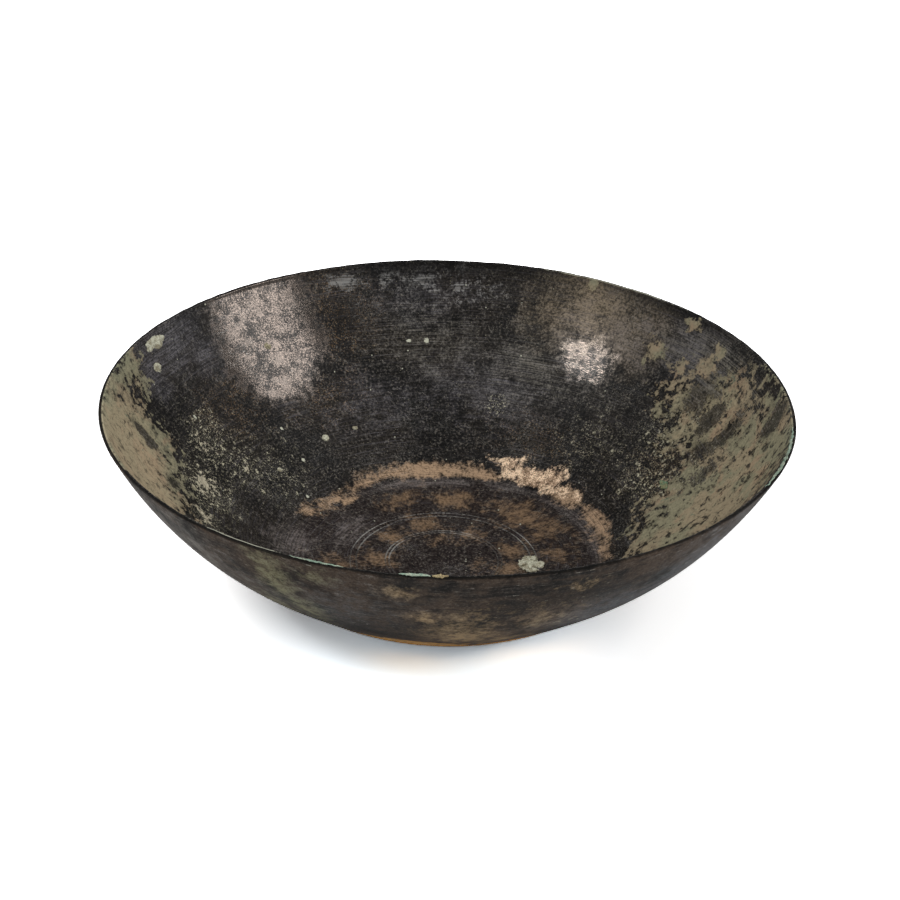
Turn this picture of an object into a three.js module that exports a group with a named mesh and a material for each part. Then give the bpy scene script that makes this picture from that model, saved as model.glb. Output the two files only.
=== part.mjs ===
import * as THREE from 'three';

// A raised bronze bowl, standing on the flat middle of its base.
// Millimetres, +Z up, origin at the centre of the face that it rests on.

// Driving dimensions of the vessel
const rimRadius = 100;
const height = 56;
const wallThickness = 1.3;
const restRadius = 20;
const baseRadius = 45.5;
const baseArcRadius = 170;
const cornerArcRadius = 16;
const coneSlope = THREE.MathUtils.degToRad(37.6);
const coneEndRadius = 68.4;
const lipChamfer = 0.35;

// Circles incised in the floor, in two pairs
const circleRadii = [16.4, 17.5, 26.3, 28.1];
const grooveWidth = 0.36;
const grooveDepth = 0.14;

// Mineral crusts stand this far off the metal
const seatGap = 0.35;

// Fineness of the faceted skin and of the crusts
const segments = 64;
const arcSteps = { base: 3, corner: 4, wall: 9 };
const crustSectors = 18;
const crustRings = [0.45, 0.8, 0.95, 1];
const searchTolerance = 1e-9;

// The outer skin is flat, then a shallow arc, a tight corner, a straight cone and a long arc to the rim
function skinSections() {
  const flat = { slope: 0, turn: 0, length: restRadius, steps: 1 };
  const baseTurn = Math.asin((baseRadius - restRadius) / baseArcRadius);
  const base = { slope: 0, turn: baseTurn, length: baseArcRadius * baseTurn, steps: arcSteps.base };
  const cornerTurn = coneSlope - baseTurn;
  const corner = { slope: baseTurn, turn: cornerTurn, length: cornerArcRadius * cornerTurn, steps: arcSteps.corner };

  const cornerRun = cornerArcRadius * (Math.sin(coneSlope) - Math.sin(baseTurn));
  const coneRun = coneEndRadius - baseRadius - cornerRun;
  const cone = { slope: coneSlope, turn: 0, length: coneRun / Math.cos(coneSlope), steps: 1 };

  const baseRise = baseArcRadius * (1 - Math.cos(baseTurn));
  const cornerRise = cornerArcRadius * (Math.cos(baseTurn) - Math.cos(coneSlope));
  const wallRun = rimRadius - coneEndRadius;
  const wallRise = height - baseRise - cornerRise - coneRun * Math.tan(coneSlope);
  const wallTurn = 2 * (Math.atan2(wallRise, wallRun) - coneSlope);
  const wallChord = Math.hypot(wallRun, wallRise);
  const wallLength = (wallChord * wallTurn) / (2 * Math.sin(wallTurn / 2));
  const wall = { slope: coneSlope, turn: wallTurn, length: wallLength, steps: arcSteps.wall };

  let distance = 0;
  const point = new THREE.Vector2(0, 0);
  return [flat, base, corner, cone, wall].map((section) => {
    const placed = { ...section, from: distance, start: point.clone() };
    const chordAngle = section.slope + section.turn / 2;
    const half = section.turn / 2;
    const chord = half === 0 ? section.length : (section.length * Math.sin(half)) / half;
    point.add(new THREE.Vector2(Math.cos(chordAngle), Math.sin(chordAngle)).multiplyScalar(chord));
    distance += section.length;
    return placed;
  });
}

const sections = skinSections();
const wallSection = sections.at(-1);
const skinLength = wallSection.from + wallSection.length;

// Point on the meridian: distance along the outer skin from the axis, then inset into the bowl
function meridian(distance, inset) {
  const section = sections.findLast((candidate) => distance >= candidate.from) ?? sections[0];
  const travelled = distance - section.from;
  const turned = (section.turn * travelled) / section.length;
  const chordAngle = section.slope + turned / 2;
  const chord = turned === 0 ? travelled : (travelled * Math.sin(turned / 2)) / (turned / 2);
  const slope = section.slope + turned;
  return new THREE.Vector2(
    section.start.x + chord * Math.cos(chordAngle) - inset * Math.sin(slope),
    section.start.y + chord * Math.sin(chordAngle) + inset * Math.cos(slope),
  );
}

// How far along the skin a point that is inset reaches a given radius (x) or height (y), found by halving
function distanceWhere(coordinate, value, inset) {
  let low = 0;
  let high = skinLength;
  while (high - low > searchTolerance) {
    const middle = (low + high) / 2;
    if (meridian(middle, inset)[coordinate] < value) low = middle;
    else high = middle;
  }
  return (low + high) / 2;
}

const innerRimDistance = distanceWhere('y', height, wallThickness);

function stations(last) {
  const stops = [0];
  for (const section of sections) {
    for (let step = 1; step <= section.steps; step += 1) {
      const stop = section.from + (section.length * step) / section.steps;
      if (stop < last) stops.push(stop);
    }
  }
  return [...stops, last];
}

function insideStops() {
  const stops = stations(distanceWhere('y', height - lipChamfer, wallThickness))
    .map((distance) => ({ distance, inset: wallThickness }));
  for (const radius of circleRadii) {
    for (const side of [-1, 0, 1]) {
      const distance = distanceWhere('x', radius + (side * grooveWidth) / 2, wallThickness);
      stops.push({ distance, inset: side === 0 ? wallThickness - grooveDepth : wallThickness });
    }
  }
  return stops.sort((a, b) => a.distance - b.distance);
}

function bowlGeometry() {
  const outside = stations(distanceWhere('y', height - lipChamfer, 0)).map((distance) => meridian(distance, 0));
  const inside = insideStops().map((stop) => meridian(stop.distance, stop.inset)).reverse();
  const lip = [
    new THREE.Vector2(rimRadius - lipChamfer, height),
    new THREE.Vector2(meridian(innerRimDistance, wallThickness).x + lipChamfer, height),
  ];
  return new THREE.LatheGeometry([...outside, ...lip, ...inside], segments).rotateX(Math.PI / 2);
}

// A low mound with a wavy outline, laid on a surface that maps (along, up, lift) to a point
function moundGeometry(surface, { along, up, thickness, waves, waviness = 0.12 }) {
  const positions = [];
  const indices = [];

  const vertex = (ring, sector, lift) => {
    const angle = (2 * Math.PI * sector) / crustSectors;
    const reach = ring * (1 + waviness * Math.sin(waves * angle) * Math.cos(2 * angle + waves));
    positions.push(...surface((along / 2) * reach * Math.cos(angle), (up / 2) * reach * Math.sin(angle), lift));
    return positions.length / 3 - 1;
  };
  const dome = (ring) => thickness * Math.sqrt(1 - ring ** 4);
  const circle = (ring, lift) => Array.from({ length: crustSectors }, (_, sector) => vertex(ring, sector, lift));

  const top = crustRings.map((ring) => circle(ring, dome(ring)));
  const bottom = crustRings.slice(0, -1).map((ring) => circle(ring, 0));
  const edge = top.at(-1);
  const topCentre = vertex(0, 0, thickness);
  const bottomCentre = vertex(0, 0, 0);

  for (let sector = 0; sector < crustSectors; sector += 1) {
    const next = (sector + 1) % crustSectors;
    indices.push(topCentre, top[0][sector], top[0][next]);
    indices.push(bottomCentre, bottom[0][next], bottom[0][sector]);
    for (let ring = 1; ring < crustRings.length; ring += 1) {
      const [innerTop, outerTop] = [top[ring - 1], top[ring]];
      indices.push(innerTop[sector], outerTop[sector], outerTop[next]);
      indices.push(innerTop[sector], outerTop[next], innerTop[next]);
      const innerBottom = bottom[ring - 1];
      const outerBottom = ring === crustRings.length - 1 ? edge : bottom[ring];
      indices.push(innerBottom[sector], outerBottom[next], outerBottom[sector]);
      indices.push(innerBottom[sector], innerBottom[next], outerBottom[next]);
    }
  }
  const geometry = new THREE.BufferGeometry();
  geometry.setAttribute('position', new THREE.Float32BufferAttribute(positions, 3));
  geometry.setIndex(indices);
  geometry.computeVertexNormals();
  return geometry;
}

// Surface round a place on the inside, with "up" running up the wall
function insideSurface({ azimuth, fromAxis, belowRim }) {
  const centre = THREE.MathUtils.degToRad(azimuth);
  const distance = fromAxis === undefined
    ? innerRimDistance - belowRim
    : distanceWhere('x', fromAxis, wallThickness);
  const radius = meridian(distance, wallThickness).x;
  return (along, up, lift) => {
    const place = meridian(distance + up, wallThickness + seatGap + lift);
    const angle = centre - along / radius;
    return [place.x * Math.cos(angle), place.x * Math.sin(angle), place.y];
  };
}

// Surface round a place on top of the rim, with "up" running outwards
function rimSurface({ azimuth }) {
  const centre = THREE.MathUtils.degToRad(azimuth);
  const middle = (rimRadius + meridian(innerRimDistance, wallThickness).x) / 2;
  return (along, up, lift) => {
    const angle = centre - along / rimRadius;
    const radius = middle + up;
    return [radius * Math.cos(angle), radius * Math.sin(angle), height + seatGap + lift];
  };
}

// Crusts on the inside: place by azimuth and by distance out from the axis or down the wall from the rim,
// size along and up the wall
const insideCrusts = {
  floor_crust: { azimuth: 357, fromAxis: 26.5, along: 9.5, up: 8.2, thickness: 0.9, waves: 3, colour: '#b9b491' },
  left_rim_crust: { azimuth: 157.4, belowRim: 2.4, along: 10.2, up: 3.8, thickness: 0.5, waves: 4, colour: '#a8a583' },
  left_wall_crust: { azimuth: 160.1, belowRim: 9.4, along: 3.8, up: 3.4, thickness: 0.6, waves: 3, colour: '#b4b49a' },
  ring_crust: { azimuth: 130.9, belowRim: 19.7, along: 3.2, up: 3, thickness: 0.4, waves: 2, colour: '#8d8a78' },
  back_left_nodule: { azimuth: 127.2, fromAxis: 63.8, along: 2.6, up: 2.6, thickness: 0.8, waves: 2, colour: '#b9bba4' },
  lower_left_nodule: { azimuth: 147.8, fromAxis: 61.2, along: 1.7, up: 1.7, thickness: 0.5, waves: 2, colour: '#b4b59e' },
  back_nodule: { azimuth: 117.2, fromAxis: 64.4, along: 1.5, up: 1.5, thickness: 0.5, waves: 2, colour: '#b4b59e' },
  malachite_lump: { azimuth: 15.4, fromAxis: 69, along: 4.6, up: 3, thickness: 1, waves: 3, colour: '#6f8f6c' },
};

// Crusts on the rim: place by azimuth, size along the rim and across it
const rimCrusts = {
  front_rim_green_crust: { azimuth: 265.9, along: 7.8, up: 1.3, thickness: 0.5, waves: 5, colour: '#a9c9b4' },
  front_rim_tan_crust: { azimuth: 269.6, along: 3.8, up: 1.2, thickness: 0.8, waves: 3, colour: '#b8a67c' },
  left_front_rim_crust: { azimuth: 251, along: 14, up: 1, thickness: 0.35, waves: 6, colour: '#a7b59a' },
  right_rim_crust: { azimuth: 341.5, along: 36, up: 1.2, thickness: 0.45, waves: 7, colour: '#aebfa4' },
};

function crustMesh(name, surface, crust) {
  const material = new THREE.MeshStandardMaterial({ color: crust.colour, roughness: 0.9, metalness: 0 });
  const mesh = new THREE.Mesh(moundGeometry(surface, crust), material);
  mesh.name = name;
  return mesh;
}

const bronze = new THREE.MeshStandardMaterial({ color: '#2f2a26', roughness: 0.45, metalness: 0.8 });
const bowl = new THREE.Mesh(bowlGeometry(), bronze);
bowl.name = 'bowl';

const vessel = new THREE.Group();
vessel.add(bowl);
for (const [name, crust] of Object.entries(insideCrusts)) {
  vessel.add(crustMesh(name, insideSurface(crust), crust));
}
for (const [name, crust] of Object.entries(rimCrusts)) {
  vessel.add(crustMesh(name, rimSurface(crust), crust));
}

export default vessel;
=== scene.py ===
import math
import bpy
from mathutils import Matrix, Vector


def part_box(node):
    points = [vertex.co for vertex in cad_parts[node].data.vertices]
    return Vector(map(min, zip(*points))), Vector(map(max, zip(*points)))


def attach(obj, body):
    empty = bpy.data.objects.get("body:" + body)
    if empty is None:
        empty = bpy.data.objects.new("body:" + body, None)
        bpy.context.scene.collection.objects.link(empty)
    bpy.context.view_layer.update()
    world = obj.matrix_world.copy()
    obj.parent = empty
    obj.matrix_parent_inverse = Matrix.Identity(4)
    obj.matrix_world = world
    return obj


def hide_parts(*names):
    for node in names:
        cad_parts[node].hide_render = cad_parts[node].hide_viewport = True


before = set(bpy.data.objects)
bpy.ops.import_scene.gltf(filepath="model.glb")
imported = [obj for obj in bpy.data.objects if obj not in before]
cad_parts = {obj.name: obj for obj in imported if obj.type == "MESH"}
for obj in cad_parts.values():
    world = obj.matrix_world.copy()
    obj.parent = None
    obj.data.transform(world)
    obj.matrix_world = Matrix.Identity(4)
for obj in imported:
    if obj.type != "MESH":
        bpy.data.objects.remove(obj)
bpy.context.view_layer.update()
bowlLow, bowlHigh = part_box("bowl")
mm = 0.001
bowlHeight = bowlHigh.z - bowlLow.z
print("frame loaded, bowl", round((bowlHigh.x - bowlLow.x) / mm), "by", round(bowlHeight / mm), "mm")


# Mesh tools

def selectNone():
    if bpy.context.object and bpy.context.object.mode != "OBJECT":
        bpy.ops.object.mode_set(mode="OBJECT")
    bpy.ops.object.select_all(action="DESELECT")


def applyModifier(piece, kind, **settings):
    selectNone()
    piece.select_set(True)
    bpy.context.view_layer.objects.active = piece
    modifier = piece.modifiers.new(kind.title(), kind)
    for key, value in settings.items():
        setattr(modifier, key, value)
    bpy.ops.object.modifier_apply(modifier=modifier.name)


def ruffle(piece, name, size, reach, direction, depth=2, middle=0.5, group=""):  # noise that moves a surface
    texture = bpy.data.textures.new(name, "CLOUDS")
    texture.noise_scale = size
    texture.noise_depth = depth
    texture.cloud_type = "COLOR" if direction == "RGB_TO_XYZ" else "GRAYSCALE"
    applyModifier(piece, "DISPLACE", texture=texture, texture_coords="LOCAL", direction=direction,
                  mid_level=middle, strength=reach, vertex_group=group)


def seatInFrame(piece, node):
    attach(piece, "root")
    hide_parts(node)


# Camera, which stands where the photograph was taken from

cameraLook = {"place": (0, -0.5796, 0.3499), "down": 28.221, "turn": -0.102, "roll": 1.515, "lens": 90.08}


def makeCamera(look):
    data = bpy.data.cameras.new("camera")
    data.lens = look["lens"]
    data.sensor_width = 36
    camera = bpy.data.objects.new("camera", data)
    turn, down, roll = (math.radians(look[key]) for key in ("turn", "down", "roll"))
    camera.matrix_world = (Matrix.Translation(Vector(look["place"])) @ Matrix.Rotation(turn, 4, "Z")
                           @ Matrix.Rotation(math.pi / 2 - down, 4, "X") @ Matrix.Rotation(roll, 4, "Z"))
    bpy.context.scene.collection.objects.link(camera)
    bpy.context.scene.camera = camera


makeCamera(cameraLook)
bpy.context.scene.view_settings.view_transform = "Standard"
print("camera made")


# Section of the bowl: flat middle, shallow arc, tight corner, straight cone and a long arc to the rim

bowlShape = {
    "rimRadius": 100 * mm,
    "wall": 1.3 * mm,
    "restRadius": 20 * mm,
    "baseRadius": 45.5 * mm,
    "baseArc": 170 * mm,
    "cornerArc": 16 * mm,
    "coneSlope": math.radians(37.6),
    "coneEnd": 68.4 * mm,
    "circles": [16.4 * mm, 17.5 * mm, 26.3 * mm, 28.1 * mm],
    "grooveWidth": 0.36 * mm,
    "grooveDepth": 0.16 * mm,
    "lipRound": 0.45 * mm,
    "lipSteps": 8,
    "lipSquareness": 0.6,        # 1 is a half round, less is a flatter edge
    "stationGap": 1.25 * mm,
    "spinSteps": 360,
    "waveSize": 42 * mm,         # slow unevenness of the raised wall
    "waveReach": 0.5 * mm,
    "nickSize": 4 * mm,          # small dents of the rim
    "nickReach": 0.45 * mm,
    "nickMiddle": 0.65,          # above 0.5 the dents go down rather than up
    "footShare": 0.08,           # share of the height below which the wall doesn't waver
    "edgeShare": 0.97,           # share of the height above which the rim is dented
    "smoothAngle": math.radians(50),
    "insideReach": 0.55,         # share of the wall, from the outside, at which the inner finish ends
    "rimSeat": 0.8,              # share of the wall, from the outside, at which the crusts of the rim lie
    "searchTolerance": 1e-9,
}


def skinSections(shape):
    slope = shape["coneSlope"]
    baseTurn = math.asin((shape["baseRadius"] - shape["restRadius"]) / shape["baseArc"])
    cornerRun = shape["cornerArc"] * (math.sin(slope) - math.sin(baseTurn))
    cornerRise = shape["cornerArc"] * (math.cos(baseTurn) - math.cos(slope))
    coneRun = shape["coneEnd"] - shape["baseRadius"] - cornerRun
    baseRise = shape["baseArc"] * (1 - math.cos(baseTurn))
    wallRun = shape["rimRadius"] - shape["coneEnd"]
    wallRise = bowlHeight - baseRise - cornerRise - coneRun * math.tan(slope)
    wallTurn = 2 * (math.atan2(wallRise, wallRun) - slope)
    rows = [
        (0, 0, shape["restRadius"]),
        (0, baseTurn, shape["baseArc"] * baseTurn),
        (baseTurn, slope - baseTurn, shape["cornerArc"] * (slope - baseTurn)),
        (slope, 0, coneRun / math.cos(slope)),
        (slope, wallTurn, math.hypot(wallRun, wallRise) * wallTurn / (2 * math.sin(wallTurn / 2))),
    ]
    made, start, distance = [], Vector((0, 0)), 0
    for first, turn, length in rows:
        made.append({"slope": first, "turn": turn, "length": length, "from": distance, "start": start.copy()})
        chord = length if turn == 0 else length * math.sin(turn / 2) / (turn / 2)
        start += Vector((math.cos(first + turn / 2), math.sin(first + turn / 2))) * chord
        distance += length
    return made, distance


sections, skinLength = skinSections(bowlShape)


def meridian(distance, inset):  # radius and height at a distance along the outer skin, inset into the bowl
    section = [s for s in sections if distance >= s["from"]][-1]
    travelled = distance - section["from"]
    half = section["turn"] * travelled / section["length"] / 2
    chord = travelled if half == 0 else travelled * math.sin(half) / half
    slope = section["slope"] + 2 * half
    return (section["start"].x + chord * math.cos(section["slope"] + half) - inset * math.sin(slope),
            section["start"].y + chord * math.sin(section["slope"] + half) + inset * math.cos(slope))


def distanceWhere(part, wanted, inset):  # part 0 looks for a radius, part 1 for a height
    low, high = 0, skinLength
    while high - low > bowlShape["searchTolerance"]:
        middle = (low + high) / 2
        if meridian(middle, inset)[part] < wanted:
            low = middle
        else:
            high = middle
    return low


def bowlOutline(shape):
    wall, lip = shape["wall"], shape["lipRound"]

    def stops(last):
        count = round(last / shape["stationGap"])
        return [last * step / count for step in range(count + 1)]

    outside = [meridian(d, 0) for d in stops(distanceWhere(1, bowlHeight - lip, 0))]
    inner = [(d, wall) for d in stops(distanceWhere(1, bowlHeight - lip, wall))]
    for radius in shape["circles"]:
        centre = distanceWhere(0, radius, wall)
        for side, depth in ((-0.5, 0), (-0.2, 0.9), (0.2, 1), (0.5, 0)):
            inner.append((centre + side * shape["grooveWidth"], wall - depth * shape["grooveDepth"]))
    inside = [meridian(d, inset) for d, inset in sorted(inner)]
    middle, half = (outside[-1][0] + inside[-1][0]) / 2, (outside[-1][0] - inside[-1][0]) / 2
    edge = []
    for step in range(1, shape["lipSteps"]):
        angle = math.pi * step / shape["lipSteps"]
        across = math.copysign(abs(math.cos(angle)) ** shape["lipSquareness"], math.cos(angle))
        rise = lip * math.sin(angle) ** shape["lipSquareness"]
        edge.append((middle + half * across, bowlHeight - lip + rise))
    return outside + edge + inside[::-1]


def makeBowl(shape):
    selectNone()
    bpy.ops.mesh.primitive_plane_add(size=1 * mm, location=(0, 0, 0))
    bowl = bpy.context.object
    bowl.name = bowl.data.name = "bowlShell"
    bpy.ops.object.mode_set(mode="EDIT")
    bpy.ops.mesh.merge(type="CENTER")
    here = Vector((0, 0, 0))
    for radius, height in bowlOutline(shape)[1:]:
        there = Vector((radius, 0, height))
        bpy.ops.mesh.extrude_region_move(TRANSFORM_OT_translate={"value": there - here})
        here = there
    bpy.ops.mesh.select_all(action="SELECT")
    bpy.ops.mesh.spin(steps=shape["spinSteps"], angle=2 * math.pi, center=(0, 0, 0), axis=(0, 0, 1))
    bpy.ops.mesh.select_all(action="SELECT")
    bpy.ops.mesh.remove_doubles(threshold=0.01 * mm)
    bpy.ops.mesh.normals_make_consistent(inside=False)
    bpy.ops.object.mode_set(mode="OBJECT")

    raised = bowl.vertex_groups.new(name="raised")         # the foot stays flat, the wall may waver
    edge = bowl.vertex_groups.new(name="edge")
    for vertex in bowl.data.vertices:
        share = vertex.co.z / bowlHeight
        if share > shape["footShare"]:
            raised.add([vertex.index], min(1, (share - shape["footShare"]) * 2), "REPLACE")
        if share > shape["edgeShare"]:
            edge.add([vertex.index], (share - shape["edgeShare"]) / (1 - shape["edgeShare"]), "REPLACE")
    ruffle(bowl, "wallWaves", shape["waveSize"], shape["waveReach"], "RGB_TO_XYZ", depth=0, group="raised")
    ruffle(bowl, "rimNicks", shape["nickSize"], shape["nickReach"], "Z", middle=shape["nickMiddle"],
           group="edge")
    bowl.vertex_groups.clear()
    selectNone()
    bowl.select_set(True)
    bpy.ops.object.shade_smooth_by_angle(angle=shape["smoothAngle"])
    return bowl


# Crust lumps, each laid on the bowl where its solid is

crustBlank = {
    "fineness": 5,
    "cutHeight": -0.5 * mm,      # the ball is cut flat here, before it is stretched
    "gritSize": 0.45 * mm,
}


def layOnBowl(piece, node, onRim, sink):  # x runs round the bowl, y up the wall or out over the rim, z off it
    low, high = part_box(node)
    middle = (low + high) / 2
    azimuth, radius = math.atan2(middle.y, middle.x), math.hypot(middle.x, middle.y)
    start = distanceWhere(0, radius, bowlShape["wall"])
    rimMiddle = bowlShape["rimRadius"] - bowlShape["wall"] * bowlShape["rimSeat"]
    for vertex in piece.data.vertices:
        along, up, lift = vertex.co.x, vertex.co.y, vertex.co.z - sink
        if onRim:
            out, height = rimMiddle + up, bowlHeight + lift
        else:
            out, height = meridian(start + up, bowlShape["wall"] + lift)
        angle = azimuth - along / bowlShape["rimRadius"] if onRim else azimuth - along / radius
        vertex.co = (out * math.cos(angle), out * math.sin(angle), height)


def makeCrust(node, look):
    selectNone()
    bpy.ops.mesh.primitive_ico_sphere_add(subdivisions=look.get("fineness", crustBlank["fineness"]),
                                          radius=1 * mm, location=(0, 0, 0))
    crust = bpy.context.object
    crust.name = crust.data.name = look["name"]
    bpy.ops.object.mode_set(mode="EDIT")
    bpy.ops.mesh.bisect(plane_co=(0, 0, crustBlank["cutHeight"]), plane_no=(0, 0, 1), use_fill=True,
                        clear_inner=True)
    bpy.ops.mesh.select_all(action="SELECT")
    bpy.ops.transform.resize(value=(look["along"] / 2, look["up"] / 2, look["thick"]))
    bpy.ops.object.mode_set(mode="OBJECT")
    ruffle(crust, look["name"] + "Outline", look["lobe"] * mm, look["ragged"] * mm, "RGB_TO_XYZ")
    ruffle(crust, look["name"] + "Grit", crustBlank["gritSize"], look["grit"] * mm, "NORMAL", depth=3)
    layOnBowl(crust, node, look.get("onRim", False), look["sink"] * mm)
    for face in crust.data.polygons:
        face.use_smooth = True
    return crust


# Node tools

def tone(hexCode):
    parts = [int(hexCode[i:i + 2], 16) / 255 for i in (1, 3, 5)]
    return [p / 12.92 if p <= 0.04045 else ((p + 0.055) / 1.055) ** 2.4 for p in parts] + [1]


def addNode(tree, kind, inputs=None, **settings):
    made = tree.nodes.new(kind)
    for key, value in settings.items():
        setattr(made, key, value)
    for socket, value in (inputs or {}).items():
        if isinstance(value, bpy.types.NodeSocket):
            tree.links.new(value, made.inputs[socket])
        else:
            made.inputs[socket].default_value = value
    return made


def calc(tree, operation, first, second=0.0, clamp=False):
    made = addNode(tree, "ShaderNodeMath", {0: first, 1: second}, operation=operation, use_clamp=clamp)
    return made.outputs[0]


def times(tree, first, *others):
    for other in others:
        first = calc(tree, "MULTIPLY", first, other)
    return first


def plus(tree, first, *others):
    for other in others:
        first = calc(tree, "ADD", first, other)
    return first


def strongest(tree, first, *others):
    for other in others:
        first = calc(tree, "MAXIMUM", first, other)
    return first


def without(tree, first, second):  # what is left of the first mask outside the second
    return times(tree, first, calc(tree, "SUBTRACT", 1.0, second, clamp=True))


def apart(tree, first, second):
    return calc(tree, "ABSOLUTE", calc(tree, "SUBTRACT", first, second))


def blend(tree, share, first, second):
    return addNode(tree, "ShaderNodeMix", {0: share, 6: first, 7: second}, data_type="RGBA").outputs[2]


def vectorCalc(tree, operation, first, second, output=0):
    return addNode(tree, "ShaderNodeVectorMath", {0: first, 1: second}, operation=operation).outputs[output]


def noise(tree, place, scale, detail=3.0, roughness=0.55, distortion=0.0):
    return addNode(tree, "ShaderNodeTexNoise", {"Vector": place, "Scale": scale, "Detail": detail,
                   "Roughness": roughness, "Distortion": distortion}).outputs[0]


def ease(tree, value, low, high, floor=0.0, top=1.0):
    return addNode(tree, "ShaderNodeMapRange", {0: value, 1: low, 2: high, 3: floor, 4: top},
                   interpolation_type="SMOOTHSTEP").outputs[0]


def newGroup(name, inputs, outputs):
    group = bpy.data.node_groups.new(name, "ShaderNodeTree")
    for label, kind, value in inputs:
        socket = group.interface.new_socket(name=label, in_out="INPUT", socket_type="NodeSocket" + kind)
        socket.default_value = value
    for label, kind in outputs:
        group.interface.new_socket(name=label, in_out="OUTPUT", socket_type="NodeSocket" + kind)
    return group, group.nodes.new("NodeGroupInput").outputs, group.nodes.new("NodeGroupOutput").inputs


def useGroup(tree, group, inputs):
    return addNode(tree, "ShaderNodeGroup", inputs, node_tree=group).outputs


# Effects that several materials share. Places are in millimetres.

def makeSpaceGroup():  # place in millimetres, the same as direction and radius, and the height
    group, given, result = newGroup("bowlSpace", [("Object", "Vector", (0, 0, 0))],
                                    [("Place", "Vector"), ("Polar", "Vector"), ("Radius", "Float"),
                                     ("Height", "Float")])
    place = vectorCalc(group, "MULTIPLY", given["Object"], (1000, 1000, 1000))
    flat = vectorCalc(group, "MULTIPLY", place, (1, 1, 0))
    radius = vectorCalc(group, "LENGTH", flat, (0, 0, 0), "Value")
    direction = vectorCalc(group, "NORMALIZE", flat, (0, 0, 0))
    way = addNode(group, "ShaderNodeSeparateXYZ", {0: direction}).outputs
    polar = addNode(group, "ShaderNodeCombineXYZ", {0: way[0], 1: way[1], 2: radius}).outputs[0]
    group.links.new(place, result["Place"])
    group.links.new(polar, result["Polar"])
    group.links.new(radius, result["Radius"])
    group.links.new(addNode(group, "ShaderNodeSeparateXYZ", {0: place}).outputs[2], result["Height"])
    return group


def makePatchGroup():  # one patch with an uneven edge
    group, given, result = newGroup(
        "patch", [("Polar", "Vector", (0, 0, 0)), ("Centre", "Vector", (1, 0, 50)),
                  ("Reach", "Vector", (1, 1, 10)), ("Stir", "Float", 0.0), ("Strength", "Float", 1.0)],
        [("Level", "Float")])
    away = vectorCalc(group, "SUBTRACT", given["Polar"], given["Centre"])
    far = vectorCalc(group, "LENGTH", vectorCalc(group, "DIVIDE", away, given["Reach"]), (0, 0, 0), "Value")
    inside = times(group, calc(group, "SUBTRACT", 1.0, far), given["Strength"])
    group.links.new(plus(group, inside, given["Stir"]), result["Level"])
    return group


def makeSpeckGroup():  # scattered small spots
    group, given, result = newGroup("specks", [("Place", "Vector", (0, 0, 0)), ("Scale", "Float", 1.6),
                                               ("Share", "Float", 0.1), ("Size", "Float", 0.45)],
                                    [("Mask", "Float")])
    cells = addNode(group, "ShaderNodeTexVoronoi", {"Vector": given["Place"], "Scale": given["Scale"]})
    chance = addNode(group, "ShaderNodeSeparateColor", {0: cells.outputs["Color"]}).outputs[0]
    chosen = calc(group, "LESS_THAN", chance, given["Share"])
    reach = ease(group, cells.outputs["Distance"], times(group, given["Size"], 0.6), given["Size"])
    group.links.new(without(group, chosen, reach), result["Mask"])
    return group


def makeStrokeGroup():  # fine lines that run round the bowl and waver a little
    group, given, result = newGroup(
        "strokes", [("Polar", "Vector", (0, 0, 0)), ("Place", "Vector", (0, 0, 0)), ("Along", "Float", 4.0),
                    ("Across", "Float", 1.0), ("Waver", "Float", 6.0)],
        [("Streak", "Float")])
    way = addNode(group, "ShaderNodeSeparateXYZ", {0: given["Polar"]}).outputs
    height = addNode(group, "ShaderNodeSeparateXYZ", {0: given["Place"]}).outputs[2]
    drift = times(group, noise(group, given["Place"], 0.03, 2), given["Waver"])
    across = times(group, plus(group, way[2], height, drift), given["Across"])
    space = addNode(group, "ShaderNodeCombineXYZ", {0: times(group, way[0], given["Along"]),
                                                    1: times(group, way[1], given["Along"]), 2: across})
    group.links.new(noise(group, space.outputs[0], 1.0, 2, 0.6), result["Streak"])
    return group


def makeScratchGroup():  # thin straight scratches in one direction
    group, given, result = newGroup(
        "scratches", [("Place", "Vector", (0, 0, 0)), ("Turn", "Vector", (0, 0, 0)),
                      ("Stretch", "Vector", (0.04, 1.2, 1.2)), ("Width", "Float", 0.012)],
        [("Mask", "Float")])
    turned = addNode(group, "ShaderNodeVectorRotate", {"Vector": given["Place"], "Rotation": given["Turn"]},
                     rotation_type="EULER_XYZ").outputs[0]
    field = noise(group, vectorCalc(group, "MULTIPLY", turned, given["Stretch"]), 1.0, 1.5, 0.6)
    off = apart(group, field, 0.5)
    group.links.new(calc(group, "SUBTRACT", 1.0, ease(group, off, 0.0, given["Width"])), result["Mask"])
    return group


spaceGroup, patchGroup, speckGroup = makeSpaceGroup(), makePatchGroup(), makeSpeckGroup()
strokeGroup, scratchGroup = makeStrokeGroup(), makeScratchGroup()


def bowlSpace(tree):
    coordinates = tree.nodes.new("ShaderNodeTexCoord").outputs["Object"]
    return useGroup(tree, spaceGroup, {"Object": coordinates})


def patchLevel(tree, space, stir, rows):  # azimuth, radius, half length, half reach, strength
    joined = None
    for azimuth, radius, along, out, strength in rows:
        way = (math.cos(math.radians(azimuth)), math.sin(math.radians(azimuth)))
        level = useGroup(tree, patchGroup, {"Polar": space["Polar"], "Centre": (*way, radius), "Stir": stir,
                                            "Reach": (along / radius, along / radius, out),
                                            "Strength": strength})["Level"]
        joined = level if joined is None else strongest(tree, joined, level)
    return joined


def patches(tree, space, stir, rows, low, high):
    return ease(tree, patchLevel(tree, space, stir, rows), low, high)


def stirring(tree, *pairs):  # noises that fray the edge of a patch, each with its share
    return plus(tree, *[times(tree, calc(tree, "SUBTRACT", value, 0.5), share) for value, share in pairs])


def specks(tree, space, scale, share, size):
    return useGroup(tree, speckGroup, {"Place": space["Place"], "Scale": scale, "Share": share,
                                       "Size": size})["Mask"]


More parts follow.
